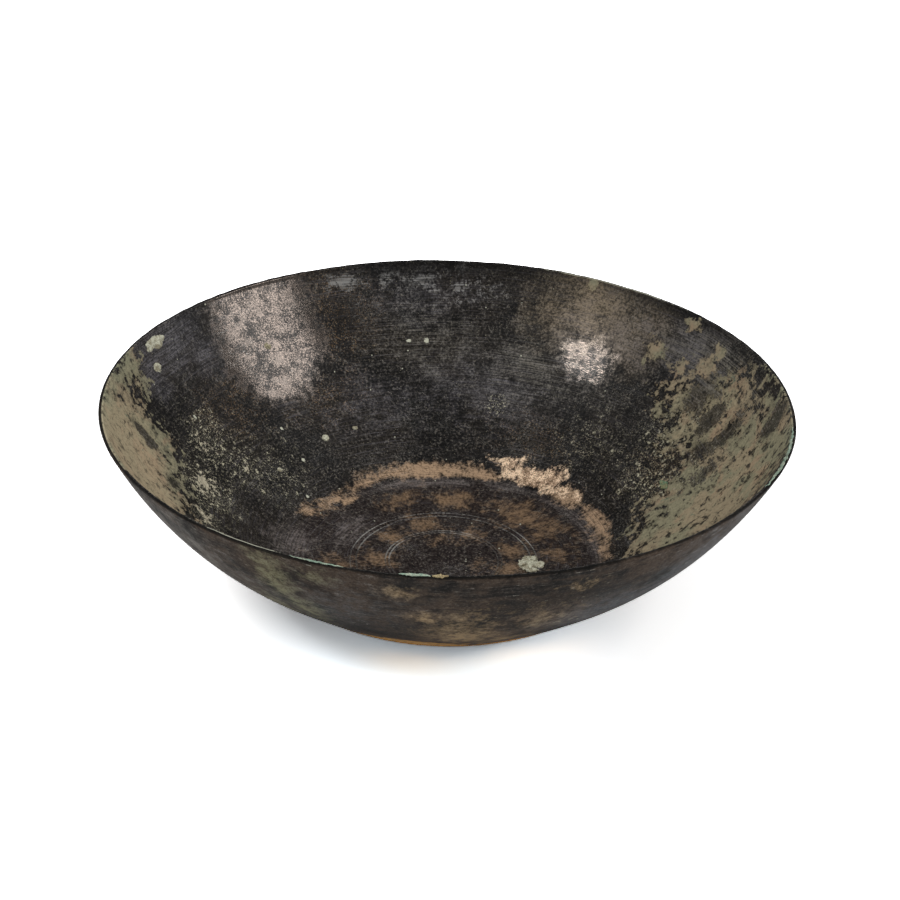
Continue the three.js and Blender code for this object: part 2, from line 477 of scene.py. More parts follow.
def streaks(tree, space, along, across, waver):
    return useGroup(tree, strokeGroup, {"Polar": space["Polar"], "Place": space["Place"], "Along": along,
                                        "Across": across, "Waver": waver})["Streak"]


def scratches(tree, space, turn, stretch, width):
    return useGroup(tree, scratchGroup, {"Place": space["Place"], "Turn": turn, "Stretch": stretch,
                                         "Width": width})["Mask"]


def newMaterial(name):
    material = bpy.data.materials.new(name)
    material.use_nodes = True
    tree = material.node_tree
    tree.nodes.clear()
    shader = tree.nodes.new("ShaderNodeBsdfPrincipled")
    output = tree.nodes.new("ShaderNodeOutputMaterial")
    tree.links.new(shader.outputs[0], output.inputs[0])
    return material, tree, shader


def finish(tree, shader, colour, roughness, height, metallic=None):
    bump = addNode(tree, "ShaderNodeBump", {"Strength": 1.0, "Distance": 1 * mm, "Height": height})
    tree.links.new(colour, shader.inputs["Base Color"])
    tree.links.new(roughness, shader.inputs["Roughness"])
    tree.links.new(bump.outputs[0], shader.inputs["Normal"])
    if metallic:
        tree.links.new(metallic, shader.inputs["Metallic"])


# Inside of the bowl. Rows of patches: azimuth, radius, half length, half reach, strength.

insideLook = {
    "deep": tone("#060606"), "black": tone("#0f0e0e"), "brown": tone("#1f1b17"),
    "floorBrown": tone("#292120"), "grain": tone("#5f5b55"), "haze": tone("#6d6a6f"),
    "brownHazeAndGlow": tone("#8b7c66"), "smear": tone("#a09f9c"), "gold": tone("#836a4e"), "star": tone("#c9c3a8"),
    "stain": tone("#826a52"), "bandTan": tone("#a68b70"), "bareDark": tone("#75604c"),
    "bareMid": tone("#a98d74"), "bareHighlight": tone("#f0d4b4"), "scratch": tone("#a3a19c"),
    "pale": tone("#b6b6a4"), "floorHaze": tone("#726a67"), "lace": tone("#b5ac96"),
    "brushed": tone("#7c776c"), "bronze": (0.085, 0.071, 0.062, 1), "bronzeBright": (0.19, 0.152, 0.128, 1),
    "crustTan": tone("#988a71"), "crustGreen": tone("#89846c"), "crustPink": tone("#9f866d"),
    "crustWarm": tone("#ab997d"), "crustLight": tone("#aaa287"), "crustDark": tone("#4f4a3d"),
    "pit": tone("#26231e"), "teal": tone("#4d6a5c"), "mint": tone("#a3b59c"),
    "rimLine": (99.1, 99.35),    # radii between which the black line of the lip begins
    "glintRadius": 98.7,
    "refraction": 1.22,
    "filmRows": [(191, 91, 32, 16, 1.5), (176, 88, 8, 9, 0.6), (168, 97, 7, 3.5, 0.5), (356, 79, 30, 24, 1.2),
                 (20, 86, 20, 9.5, 0.7), (33, 86, 7, 5, 0.4), (31, 93, 4, 3, 0.8)],
    "filmHoles": [(20.5, 85.5, 4, 4, 0.6), (13.4, 86.5, 3.5, 4.5, 0.6), (1.8, 95, 4, 4, 0.6),
                  (16, 80, 4, 3, 0.5), (8, 78, 3, 4, 0.4), (27, 88, 6, 4, 0.5), (178, 88, 2, 4, 0.6),
                  (184, 80, 3, 2, 0.6)],
    "filmGap": [(38, 98, 28, 7, 1.6)],
    "spotRows": [(37.8, 97, 4, 1.2, 1.0), (30.5, 92.5, 4, 2.6, 0.9), (29.5, 95.6, 2.4, 1.2, 0.8),
                 (45, 90.5, 4, 2, 0.7), (62, 97.6, 2.4, 1.0, 1.0), (36, 90, 3, 2, 0.7)],
    "warmRows": [(192, 90, 28, 13, 1.3), (24, 86, 16, 9, 0.7)],
    "laceRows": [(174, 73, 14, 9, 1.15), (188, 72, 10, 8, 1.0), (163, 76, 12, 8, 0.8), (157, 66, 10, 7, 0.8),
                 (1, 63, 13, 10, 1.0), (18, 72, 14, 10, 0.8), (36, 88, 9, 6, 0.7), (148, 62, 9, 6, 0.5)],
    "starRows": [(161, 76, 14, 9, 1.2), (158, 67, 11, 8, 1.0), (176, 71, 14, 10, 1.5), (190, 70, 10, 8, 1.0),
                 (150, 62, 12, 8, 0.5), (12, 70, 15, 11, 1.4), (28, 76, 14, 9, 1.1), (46, 66, 12, 7, 0.5),
                 (77, 69.7, 4, 3, 1.3), (213, 74, 16, 10, 0.8), (322, 72, 14, 9, 0.8), (22, 66, 14, 8, 1.4)],
    "goldRows": [(114, 90, 17, 10, 0.9), (122, 74, 16, 8, 0.5), (60, 62, 16, 7, 0.4), (20, 70, 18, 10, 0.9),
                 (146, 80, 18, 9, 0.7)],
    "hazeRows": [(153, 95.5, 17, 5.5, 1.0), (147, 91.5, 10, 7, 0.6), (162, 94, 9, 6, 0.8),
                 (35, 93, 16, 7, 0.9), (48, 91, 12, 7, 0.5), (95, 93, 20, 6, 0.4), (80, 74, 26, 10, 0.5),
                 (110, 70, 18, 8, 0.35), (300, 84, 30, 10, 0.6), (232, 80, 18, 9, 0.5)],
    "brushRows": [(30, 93, 26, 6, 1.2), (12, 92, 18, 6, 0.9), (70, 80, 26, 9, 0.6), (95, 84, 22, 8, 0.5),
                  (262, 90, 34, 8, 0.6)],
    # brown haze, partly a painted glow above the right highlight
    "brownHazeAndGlowRows": [(60, 95, 20, 9, 1.3), (68, 92, 12, 8, 0.7), (50, 92, 14, 10, 0.9), (272, 74, 26, 10, 0.5)],
    "smearRows": [(111, 96.3, 6, 1.7, 1.0), (96, 95.8, 8, 1.6, 0.4), (103, 96.3, 3, 1.4, 0.5),
                  (88, 95, 8, 1.6, 0.2)],
    "rimShade": [(90, 99.5, 52, 3.6, 1.4), (45, 99, 34, 2.8, 1.2), (112, 90, 9, 4, 0.5)],
    "floorHazes": [(172, 46, 12, 8, 0.9), (155, 32, 11, 6, 0.6), (98, 45, 22, 3, 1.0),
                   (66, 46.5, 12, 2.4, 0.9), (30, 47, 20, 3, 0.9), (6, 46, 14, 3, 0.7)],
    "bandRows": [(95, 50, 15, 3, 1.1), (110, 50.3, 10, 2.2, 0.7), (78, 49.5, 8, 2.4, 0.9),
                 (42, 50.5, 7, 3.8, 1.2), (22, 50.5, 10, 2.4, 0.8), (5, 48.5, 9, 2.2, 0.5),
                 (150.5, 48.5, 3.4, 2.6, 0.9), (133.5, 43.8, 3.5, 1.6, 0.9), (141, 46.5, 7, 2.2, 0.4),
                 (123, 48.5, 6, 1.8, 0.6)],
    # bare bronze, partly a painted highlight on the fillet
    "bareAndHighlightRows": [(60, 52, 9, 3.4, 1.3), (52, 53.5, 6, 3.2, 1.1), (67, 53.5, 6, 2.4, 0.7),
                 (44, 51, 5, 2.4, 0.5)],
    "stainRows": [(110, 37, 7, 5, 0.8), (84, 35.5, 8, 5.4, 0.9), (47, 35, 11, 8, 1.0), (33, 36, 11, 8, 0.9),
                  (105, 23, 5, 5, 0.6), (139, 21, 5, 4, 0.5), (95, 13.4, 5, 3, 0.5), (62, 17, 6, 4, 0.6),
                  (19, 21, 7, 5, 0.8), (8, 34, 7, 6, 0.6), (178, 20, 6, 5, 0.6), (200, 34, 10, 7, 0.6),
                  (300, 30, 10, 8, 0.7), (350, 20, 8, 6, 0.6)],
    "polishRows": [(130, 89.5, 21, 16, 2.4)],
    "shineRows": [(58, 90, 20, 9, 1.2)],
    "flakeRows": [(58, 84.6, 15, 7, 1.5)],
    "glintRows": [(58, 99, 26, 4, 0.9), (238, 99, 14, 4, 0.9)],
    "circleRows": [(150, 27, 10, 4, 1.0), (30, 27, 10, 4, 0.6), (90, 27, 12, 3, 0.4), (160, 17, 6, 3, 0.9),
                   (80, 17, 8, 3, 0.4)],
    "dotRows": [(95, 84.5, 0.9, 0.6, 0.8), (99, 84.4, 0.9, 0.35, 0.8), (159, 82.4, 0.5, 0.7, 0.8),
                (138, 69.9, 0.6, 0.6, 0.8), (138, 60.3, 0.6, 0.6, 0.8), (146, 51.6, 0.6, 0.6, 0.8)],
}


def insideMaterial(look):
    material, tree, shader = newMaterial("insidePatina")
    space = bowlSpace(tree)
    place, radius = space["Place"], space["Radius"]
    clouds = noise(tree, place, 0.045, 4, 0.6)
    coarse = noise(tree, place, 0.14, 5, 0.65)
    mottle = noise(tree, place, 0.33, 5, 0.68)
    blotch = noise(tree, place, 0.8, 4, 0.7)
    grain = noise(tree, place, 1.3, 3, 0.75)
    dust = noise(tree, place, 2.4, 2, 0.6)
    ringStreaks = streaks(tree, space, 3.0, 1.4, 2.0)
    wallStreaks = streaks(tree, space, 7.0, 2.2, 6.0)
    fineStreaks = streaks(tree, space, 5.0, 3.0, 3.0)
    flakeStreaks = streaks(tree, space, 60.0, 3.2, 3.0)
    soft = stirring(tree, (coarse, 1.6), (mottle, 1.4), (grain, 0.6))
    ragged = stirring(tree, (coarse, 1.3), (mottle, 3.0), (grain, 1.6))
    colour = blend(tree, ease(tree, clouds, 0.42, 0.6), look["black"], look["brown"])

    def paint(mask, name, share=1.0):
        nonlocal colour
        colour = blend(tree, times(tree, mask, share), colour, look[name])

    # Near-black patina with light grains, browner on the floor
    onFloor = ease(tree, plus(tree, radius, times(tree, coarse, 6.0)), 46, 54, 1.0, 0.0)
    paint(onFloor, "floorBrown", 0.8)
    paint(times(tree, ease(tree, grain, 0.5, 0.66), ease(tree, mottle, 0.36, 0.62, 0.22, 0.95)), "grain")
    paint(ease(tree, grain, 0.5, 0.36), "deep")
    gilded = patches(tree, space, soft, look["goldRows"], -0.2, 0.8)
    paint(times(tree, ease(tree, dust, 0.53, 0.64), ease(tree, mottle, 0.36, 0.6, 0.3, 1.0),
                plus(tree, gilded, 0.05)), "gold", 0.8)

    # Brushed haze, brown haze with a painted glow above the right highlight, smears, turned lines and the
    # dark zone below the rim
    strokes = plus(tree, ease(tree, wallStreaks, 0.42, 0.62, 0.0, 0.6), 0.22)
    grained = ease(tree, grain, 0.34, 0.56, 0.35, 1.0)
    # brown haze, partly a painted glow above the right highlight
    paint(times(tree, patches(tree, space, soft, look["brownHazeAndGlowRows"], -0.3, 1.2),
                ease(tree, grain, 0.36, 0.6, 0.2, 1.0),
                ease(tree, wallStreaks, 0.36, 0.56, 0.55, 1.0)), "brownHazeAndGlow")
    paint(times(tree, patches(tree, space, soft, look["hazeRows"], -0.2, 1.0), strokes, grained), "haze")
    paint(times(tree, patches(tree, space, soft, look["brushRows"], -0.2, 1.0),
                ease(tree, fineStreaks, 0.44, 0.6), grained), "brushed", 0.85)
    paint(times(tree, patches(tree, space, soft, look["floorHazes"], -0.2, 0.9),
                ease(tree, ringStreaks, 0.38, 0.6, 0.2, 0.8), grained), "floorHaze")
    paint(times(tree, ease(tree, fineStreaks, 0.54, 0.68), ease(tree, clouds, 0.4, 0.6, 0.25, 1.0)),
          "haze", 0.32)
    paint(times(tree, patches(tree, space, ragged, look["smearRows"], 0.0, 0.6),
                ease(tree, wallStreaks, 0.42, 0.6, 0.2, 1.0)), "smear", 0.6)
    paint(patches(tree, space, soft, look["rimShade"], -0.2, 0.8), "deep", 0.7)

    # Lace of crust and light flecks in the black
    lacy = stirring(tree, (coarse, 1.3), (mottle, 2.6), (blotch, 1.4), (grain, 0.8))
    lace = patches(tree, space, lacy, look["laceRows"], 0.8, 1.05)
    paint(times(tree, lace, ease(tree, grain, 0.36, 0.56, 0.4, 0.9)), "lace")
    starry = patches(tree, space, ragged, look["starRows"], -0.2, 0.9)
    flecks = strongest(tree, times(tree, starry, ease(tree, blotch, 0.58, 0.64)),
                       times(tree, starry, ease(tree, dust, 0.6, 0.65), 0.8),
                       times(tree, ease(tree, dust, 0.69, 0.73), 0.5))
    paint(flecks, "star", 0.85)

    # Stains of the floor, and the tan deposit and bare metal where the wall starts; the bare metal is partly
    # a painted highlight
    paint(times(tree, patches(tree, space, stirring(tree, (coarse, 2.8), (mottle, 3.0), (grain, 0.6)),
                              look["stainRows"], -0.3, 1.1),
                ease(tree, grain, 0.34, 0.58, 0.35, 0.9)), "stain")
    paint(times(tree, patches(tree, space, stirring(tree, (coarse, 1.6), (mottle, 2.4), (grain, 1.2)),
                              look["bandRows"], -0.2, 0.7), ease(tree, grain, 0.34, 0.54, 0.45, 1.0),
                ease(tree, fineStreaks, 0.36, 0.5, 0.6, 1.0)), "bandTan")
    # bare bronze at the foot of the wall, partly a painted highlight in its colour
    bareAndHighlight = times(tree, patches(tree, space, stirring(tree, (coarse, 1.8), (mottle, 3.2), (grain, 0.8)),
                               look["bareAndHighlightRows"], -0.15, 0.4), ease(tree, grain, 0.32, 0.46, 0.5, 1.0))
    bareAndHighlightTone = blend(tree, ease(tree, stirring(tree, (mottle, 1.0), (grain, 1.2)), -0.2, 0.1),
                     look["bareDark"], look["bareMid"])
    bareAndHighlightTone = blend(tree, ease(tree, stirring(tree, (mottle, 1.4), (dust, 1.2)), -0.04, 0.14), bareAndHighlightTone,
                     look["bareHighlight"])
    colour = blend(tree, bareAndHighlight, colour, bareAndHighlightTone)

    # Polished places, where bare grains shine in the lights
    polish = strongest(tree, patches(tree, space, soft, look["polishRows"], -0.1, 0.5),
                       times(tree, patches(tree, space, soft, look["shineRows"], -0.2, 0.8), 0.45))
    flaked = patches(tree, space, soft, look["flakeRows"], -0.1, 1.0)
    sheen = stirring(tree, (coarse, 0.9), (mottle, 0.8), (dust, 1.1))
    flakes = times(tree, ease(tree, flakeStreaks, 0.5, 0.62), ease(tree, mottle, 0.36, 0.54, 0.3, 1.0))
    grains = strongest(tree, times(tree, polish, ease(tree, sheen, -0.18, 0.16, 0.16, 0.95)),
                       times(tree, flaked, flakes))
    paint(grains, "bronze")
    paint(times(tree, grains, strongest(tree, ease(tree, dust, 0.52, 0.62), flaked)), "bronzeBright", 0.45)

    # Thin scratches, light edges of the incised circles and pale dots
    lines = strongest(tree, scratches(tree, space, (0, 0, 0.3), (0.03, 0.9, 0.9), 0.006),
                      scratches(tree, space, (0.2, 0.1, -0.6), (0.04, 1.1, 1.1), 0.006),
                      scratches(tree, space, (0, 0.3, 1.4), (0.05, 0.8, 0.8), 0.005))
    lines = times(tree, lines, ease(tree, noise(tree, place, 0.06, 2), 0.45, 0.7))
    paint(lines, "scratch", 0.45)
    marks = patches(tree, space, soft, look["circleRows"], -0.2, 0.6)
    circles = strongest(tree, *[ease(tree, apart(tree, radius, circle / mm), 0.3, 0.1)
                                for circle in bowlShape["circles"]])
    paint(times(tree, circles, ease(tree, grain, 0.34, 0.54, 0.2, 1.0), plus(tree, marks, 0.3)),
          "scratch", 0.6)
    dots = patches(tree, space, stirring(tree, (grain, 1.6)), look["dotRows"], 0.0, 0.3)
    paint(strongest(tree, dots, specks(tree, space, 0.3, 0.03, 0.1), specks(tree, space, 0.6, 0.03, 0.15)),
          "pale")

    # Crust film, from lace to a closed skin with pits
    level = patchLevel(tree, space, stirring(tree, (coarse, 1.6), (mottle, 2.4), (grain, 0.6)),
                       look["filmRows"])
    film = times(tree, ease(tree, level, -0.04, 0.08), ease(tree, level, -0.05, 0.6, 0.62, 1.0))
    slits = stirring(tree, (streaks(tree, space, 40.0, 0.3, 3.0), 1.3), (mottle, 1.4), (grain, 0.6))
    broken = stirring(tree, (noise(tree, place, 0.2, 5, 0.66, 1.2), 2.2), (mottle, 1.2), (grain, 0.4))
    toRight = ease(tree, addNode(tree, "ShaderNodeSeparateXYZ", {0: place}).outputs[0], -60.0, 40.0)
    opened = strongest(tree, times(tree, ease(tree, slits, -0.18, -0.28), 0.85),
                       times(tree, ease(tree, broken, -0.2, -0.32), 0.8))
    film = without(tree, film, times(tree, opened, plus(tree, times(tree, toRight, 0.6), 0.4)))
    frayed = stirring(tree, (coarse, 1.8), (mottle, 2.6), (grain, 0.8))
    film = without(tree, film, times(tree, patches(tree, space, frayed, look["filmHoles"], 0.0, 0.14), 0.88))
    film = without(tree, film, times(tree, patches(tree, space, frayed, look["filmGap"], 0.0, 0.2), 0.88))
    film = strongest(tree, film, times(tree, patches(tree, space, frayed, look["spotRows"], 0.0, 0.3), 0.85))
    edgeRadius = plus(tree, radius, times(tree, mottle, 0.5))
    film = without(tree, film, ease(tree, edgeRadius, *look["rimLine"], 0.0, 0.9))
    filmTone = blend(tree, ease(tree, noise(tree, place, 0.07, 3), 0.44, 0.56), look["crustTan"],
                     look["crustGreen"])
    for mask, name, share in (
            (ease(tree, noise(tree, place, 0.1, 4, 0.6, 0.8), 0.54, 0.66), "crustPink", 0.6),
            (patches(tree, space, soft, look["warmRows"], -0.2, 0.9), "crustWarm", 0.6),
            (ease(tree, noise(tree, place, 0.3, 4, 0.6, 1.0), 0.65, 0.72), "teal", 0.6),
            (ease(tree, radius, 96, 99), "mint", 0.15),
            (ease(tree, blotch, 0.55, 0.66), "crustLight", 0.4),
            (ease(tree, mottle, 0.48, 0.34), "crustDark", 0.6),
            (ease(tree, blotch, 0.46, 0.34), "crustDark", 0.35),
            (ease(tree, grain, 0.48, 0.34), "pit", 0.35)):
        filmTone = blend(tree, times(tree, mask, share), filmTone, look[name])
    colour = blend(tree, film, colour, filmTone)
    paint(ease(tree, edgeRadius, *look["rimLine"]), "deep", 0.85)
    # Painted highlight along the inner edge of the rim
    glints = patches(tree, space, stirring(tree, (mottle, 3.0)), look["glintRows"], 0.0, 0.4)
    paint(times(tree, glints, ease(tree, apart(tree, radius, look["glintRadius"]), 0.22, 0.1)), "pale", 0.8)

    rough = plus(tree, 0.56, times(tree, film, 0.3), times(tree, strongest(tree, polish, flaked), -0.41),
                 times(tree, bareAndHighlight, -0.1))
    height = plus(tree, times(tree, grain, 0.012), times(tree, mottle, 0.024), times(tree, film, 0.12),
                  times(tree, film, grain, 0.1), times(tree, lines, -0.01), times(tree, bareAndHighlight, grain, 0.06))
    metallic = without(tree, strongest(tree, times(tree, grains, 0.88), times(tree, bareAndHighlight, 0.3)), film)
    finish(tree, shader, colour, rough, height, metallic)
    shader.inputs["IOR"].default_value = look["refraction"]
    return material


outsideLook = {
    "black": tone("#22201e"), "brown": tone("#463b32"), "deep": tone("#0e0d0c"), "grain": tone("#77706a"),
    "grey": tone("#817e79"), "tan": tone("#dba968"), "earth": tone("#ab9370"), "green": tone("#8f8c6c"),
    "pale": tone("#b3b2a6"), "edgeGlint": tone("#c9c6bb"), "blueAndSheen": tone("#62666a"),
    # radius of the painted highlight on the lip's outer edge
    "glintEdgeRadius": 99.3,
    "refraction": 1.14,
    # bluish-grey zones, partly a painted sheen
    "blueAndSheenRows": [(322, 86, 26, 14, 1.3), (302, 82, 22, 10, 0.9), (250, 84, 16, 8, 0.3)],
    "greyRows": [(212, 88, 28, 14, 1.0), (225, 92, 12, 8, 0.5), (140, 88, 30, 12, 0.6),
                 (30, 88, 30, 12, 0.6)],
    "deepRows": [(250, 72, 22, 8, 0.9), (262, 80, 26, 7, 0.6), (243, 62, 12, 6, 0.7), (290, 92, 26, 5, 0.5)],
    "earthRows": [(274, 77, 11, 13, 1.1), (263.5, 96, 4, 1.6, 0.6), (267, 87.5, 5, 3, 1.1),
                  (283, 68, 10, 8, 0.8), (292, 95.6, 5, 1.5, 0.6), (288, 84, 8, 5, 0.5),
                  (240, 60, 12, 6, 0.6), (95, 60, 26, 10, 1.0), (20, 56, 14, 8, 0.8), (170, 58, 14, 8, 0.8)],
    "tanRows": [(262, 57, 17, 7, 1.8), (290, 54, 14, 6, 1.2), (303, 57, 14, 6, 1.5), (70, 50, 30, 7, 1.0),
                (160, 50, 22, 7, 0.8)],
    "greenRows": [(242, 93, 7, 9, 1.2), (244, 82, 7, 8, 0.9), (236, 78, 7, 7, 0.7), (250, 97, 5, 2, 0.6),
                  (40, 80, 22, 10, 0.8), (120, 84, 24, 10, 0.8), (340, 88, 12, 6, 0.4),
                  (195, 82, 14, 8, 0.6)],
    # rows of the painted highlight on the lip's outer edge
    "edgeGlintRows": [(231, 99.5, 13, 3, 2.0), (170, 99.5, 10, 3, 0.8)],
}


def outsideMaterial(look):
    material, tree, shader = newMaterial("outsidePatina")
    space = bowlSpace(tree)
    place, radius, height = space["Place"], space["Radius"], space["Height"]
    clouds = noise(tree, place, 0.05, 4, 0.6)
    coarse = noise(tree, place, 0.13, 5, 0.65)
    mottle = noise(tree, place, 0.36, 5, 0.68)
    grain = noise(tree, place, 1.3, 3, 0.75)
    broadStreaks = streaks(tree, space, 3.0, 0.35, 3.0)
    fineStreaks = streaks(tree, space, 8.0, 1.2, 4.0)
    soft = stirring(tree, (coarse, 1.6), (mottle, 1.6))
    ragged = stirring(tree, (coarse, 1.6), (mottle, 3.0), (grain, 0.8))
    colour = blend(tree, ease(tree, clouds, 0.4, 0.6), look["black"], look["brown"])

    def paint(mask, name, share=1.0):
        nonlocal colour
        colour = blend(tree, times(tree, mask, share), colour, look[name])

    browned = plus(tree, times(tree, broadStreaks, 0.4), times(tree, coarse, 0.6))
    paint(ease(tree, browned, 0.46, 0.58), "brown", 0.7)
    blackened = plus(tree, times(tree, broadStreaks, 0.25), times(tree, coarse, 0.75))
    paint(ease(tree, blackened, 0.5, 0.38), "deep", 0.7)
    paint(times(tree, ease(tree, fineStreaks, 0.5, 0.66), ease(tree, mottle, 0.46, 0.62)), "grain", 0.35)
    # the bluish zones are partly a painted sheen
    for name, stir, low, high, share in (("blueAndSheen", soft, -0.4, 1.0, 0.7), ("grey", soft, -0.4, 1.0, 0.8),
                                         ("deep", soft, -0.2, 0.8, 0.8), ("earth", ragged, -0.3, 1.4, 0.75),
                                         ("tan", soft, -0.2, 0.7, 0.95), ("green", ragged, -0.3, 1.4, 0.65)):
        zone = patches(tree, space, stir, look[name + "Rows"], low, high)
        paint(times(tree, zone, ease(tree, mottle, 0.34, 0.54, 0.45, 1.0),
                    ease(tree, fineStreaks, 0.34, 0.5, 0.7, 1.0)), name, share)
    paint(ease(tree, grain, 0.52, 0.7), "grain", 0.25)
    paint(ease(tree, grain, 0.5, 0.36), "deep", 0.45)
    flecks = times(tree, ease(tree, fineStreaks, 0.64, 0.72), ease(tree, mottle, 0.55, 0.62))
    paint(strongest(tree, flecks, specks(tree, space, 0.25, 0.08, 0.1)), "pale", 0.6)

    # Black lip, with a painted highlight along its outer edge in places
    top = bowlHeight / mm
    lip = ease(tree, plus(tree, height, times(tree, mottle, 0.8)), top - 0.1, top + 0.3)
    paint(lip, "deep", 0.85)
    # painted highlight along the lip's outer edge
    edgeGlints = patches(tree, space, stirring(tree, (mottle, 3.0)), look["edgeGlintRows"], 0.0, 0.4)
    edge = ease(tree, apart(tree, radius, look["glintEdgeRadius"]), 0.46, 0.6)
    paint(times(tree, edgeGlints, ease(tree, height, top - 0.8, top - 0.4), edge), "edgeGlint", 0.6)

    rough = plus(tree, 0.5, times(tree, mottle, 0.2))
    bumps = plus(tree, times(tree, grain, 0.03), times(tree, mottle, 0.06), times(tree, fineStreaks, 0.02))
    finish(tree, shader, colour, rough, bumps)
    shader.inputs["IOR"].default_value = look["refraction"]
    return material


def crustMaterial(name, light, deep, other):
    material, tree, shader = newMaterial(name)
    space = bowlSpace(tree)
    broad = noise(tree, space["Place"], 0.55, 5, 0.65)
    grit = noise(tree, space["Place"], 3.0, 3, 0.7)
    colour = blend(tree, ease(tree, broad, 0.42, 0.6), light, other)
    colour = blend(tree, times(tree, ease(tree, grit, 0.45, 0.7), 0.75), colour, deep)
    rough = plus(tree, 0.7, times(tree, grit, 0.25))
    height = plus(tree, times(tree, grit, 0.16), times(tree, broad, 0.1))
    finish(tree, shader, colour, rough, height)
    return material


# Build the bowl

bowl = makeBowl(bowlShape)
bowl.data.materials.append(insideMaterial(insideLook))
bowl.data.materials.append(outsideMaterial(outsideLook))
lipMiddle = bowlShape["rimRadius"] - bowlShape["wall"] * bowlShape["insideReach"]
for face in bowl.data.polygons:
    face.material_index = 0 if face.normal.z > 0 and face.center.xy.length < lipMiddle else 1
seatInFrame(bowl, "bowl")
print("bowl made,", len(bowl.data.polygons), "faces")

# Build the crusts. Sizes in millimetres.

crustFinishes = {
    "pale": crustMaterial("paleCrust", tone("#c6c5b0"), tone("#5a5646"), tone("#98917a")),
    "grey": crustMaterial("greyCrust", tone("#837c69"), tone("#4a453a"), tone("#a39a7c")),
    "tan": crustMaterial("tanCrust", tone("#b3a27a"), tone("#4f4430"), tone("#8f7d5a")),
    "mint": crustMaterial("mintCrust", tone("#93ab98"), tone("#46554a"), tone("#b0b8a4")),
    "green": crustMaterial("greenCrust", tone("#6f8d70"), tone("#39432f"), tone("#8b8a66")),
}
crusts = {
    "floor_crust": {"name": "floorCrust", "along": 9.0, "up": 7.2, "thick": 0.75, "sink": 0.1, "lobe": 2.2,
                    "ragged": 2.7, "grit": 0.4, "fineness": 6, "finish": "pale"},
    "left_rim_crust": {"name": "leftRimCrust", "along": 11, "up": 4.2, "thick": 0.45, "sink": 0.1,
                       "lobe": 3.2, "ragged": 1.6, "grit": 0.3, "fineness": 6, "finish": "pale"},
    "left_wall_crust": {"name": "leftWallCrust", "along": 3.6, "up": 3.2, "thick": 0.5, "sink": 0.1,
                        "lobe": 2.0, "ragged": 1.6, "grit": 0.25, "finish": "pale"},
    "ring_crust": {"name": "ringCrust", "along": 2.6, "up": 2.6, "thick": 0.3, "sink": 0.1, "lobe": 1.4,
                   "ragged": 1.0, "grit": 0.25, "finish": "grey"},
    "back_left_nodule": {"name": "backLeftNodule", "along": 2.5, "up": 2.5, "thick": 0.7, "sink": 0.1,
                         "lobe": 1.3, "ragged": 0.8, "grit": 0.25, "finish": "pale"},
    "lower_left_nodule": {"name": "lowerLeftNodule", "along": 1.5, "up": 1.5, "thick": 0.4, "sink": 0.05,
                          "lobe": 1.0, "ragged": 0.4, "grit": 0.15, "finish": "pale"},
    "back_nodule": {"name": "backNodule", "along": 1.6, "up": 1.1, "thick": 0.4, "sink": 0.05, "lobe": 1.0,
                    "ragged": 0.8, "grit": 0.15, "finish": "pale"},
    "malachite_lump": {"name": "malachiteLump", "along": 4.2, "up": 2.4, "thick": 0.7, "sink": 0.15,
                       "lobe": 1.8, "ragged": 1.9, "grit": 0.35, "finish": "green"},
    "front_rim_green_crust": {"name": "frontRimGreenCrust", "along": 8.2, "up": 1.0, "thick": 0.3,
                              "sink": 0.0, "lobe": 1.8, "ragged": 0.5, "grit": 0.2, "fineness": 6,
                              "onRim": True, "finish": "mint"},
    "front_rim_tan_crust": {"name": "frontRimTanCrust", "along": 4.2, "up": 1.1, "thick": 0.45, "sink": 0.0,
                            "lobe": 1.2, "ragged": 0.6, "grit": 0.25, "onRim": True, "finish": "tan"},
    "left_front_rim_crust": {"name": "leftFrontRimCrust", "along": 15, "up": 0.6, "thick": 0.2, "sink": 0.05,
                             "lobe": 1.6, "ragged": 0.5, "grit": 0.2, "fineness": 6, "onRim": True,
                             "finish": "mint"},
    "right_rim_crust": {"name": "rightRimCrust", "along": 38, "up": 0.8, "thick": 0.25, "sink": 0.05,
                        "lobe": 1.8, "ragged": 0.8, "grit": 0.25, "fineness": 7, "onRim": True,
                        "finish": "mint"},
}
for node, look in crusts.items():
    piece = makeCrust(node, look)
    piece.data.materials.append(crustFinishes[look["finish"]])
    seatInFrame(piece, node)
print("crusts made:", len(crusts))


# Floor, sky and softboxes

studio = {
    "floorSize": 8,
    "floorTone": 0.85,
    "floorToneSeen": 3.8,        # the camera sees a whiter floor, which still takes the shadow
    "floorLift": (0.1, 0.1, 0.1, 1),
    "footTint": (0.86, 1, 1.12, 1),         # takes out the warm light that the base throws on the floor
    "sideShadeTone": 0.52,            # painted shade: the floor is less white beside the bowl, so that the shadow shows there too
    # painted shade on the floor to the right of the bowl
    "rightShadeTone": 0.8,
    "nearReach": (0.3, 0.16),    # metres over which each change of the floor fades in
    "besideReach": (0.005, 0.065),
    "rightReach": (0.0, 0.065),
    "untintedReach": (0.06, 0.085),
    "untintedBack": (-0.03, 0.0),
    "skyForLight": 0.55,
    "skyInGloss": 0.12,
    "horizon": (0.1, 0.4),       # heights of view between which the sky dims in reflections
    "rightBox": {"azimuth": 353.3, "elevation": 35.5, "roll": -20, "distance": 0.9, "width": 0.44,
                 "height": 0.56, "watts": 4.8},
    "leftBox": {"azimuth": 204, "elevation": 48, "roll": 0, "distance": 0.9, "width": 0.48, "height": 0.24,
                "watts": 3.8},
}


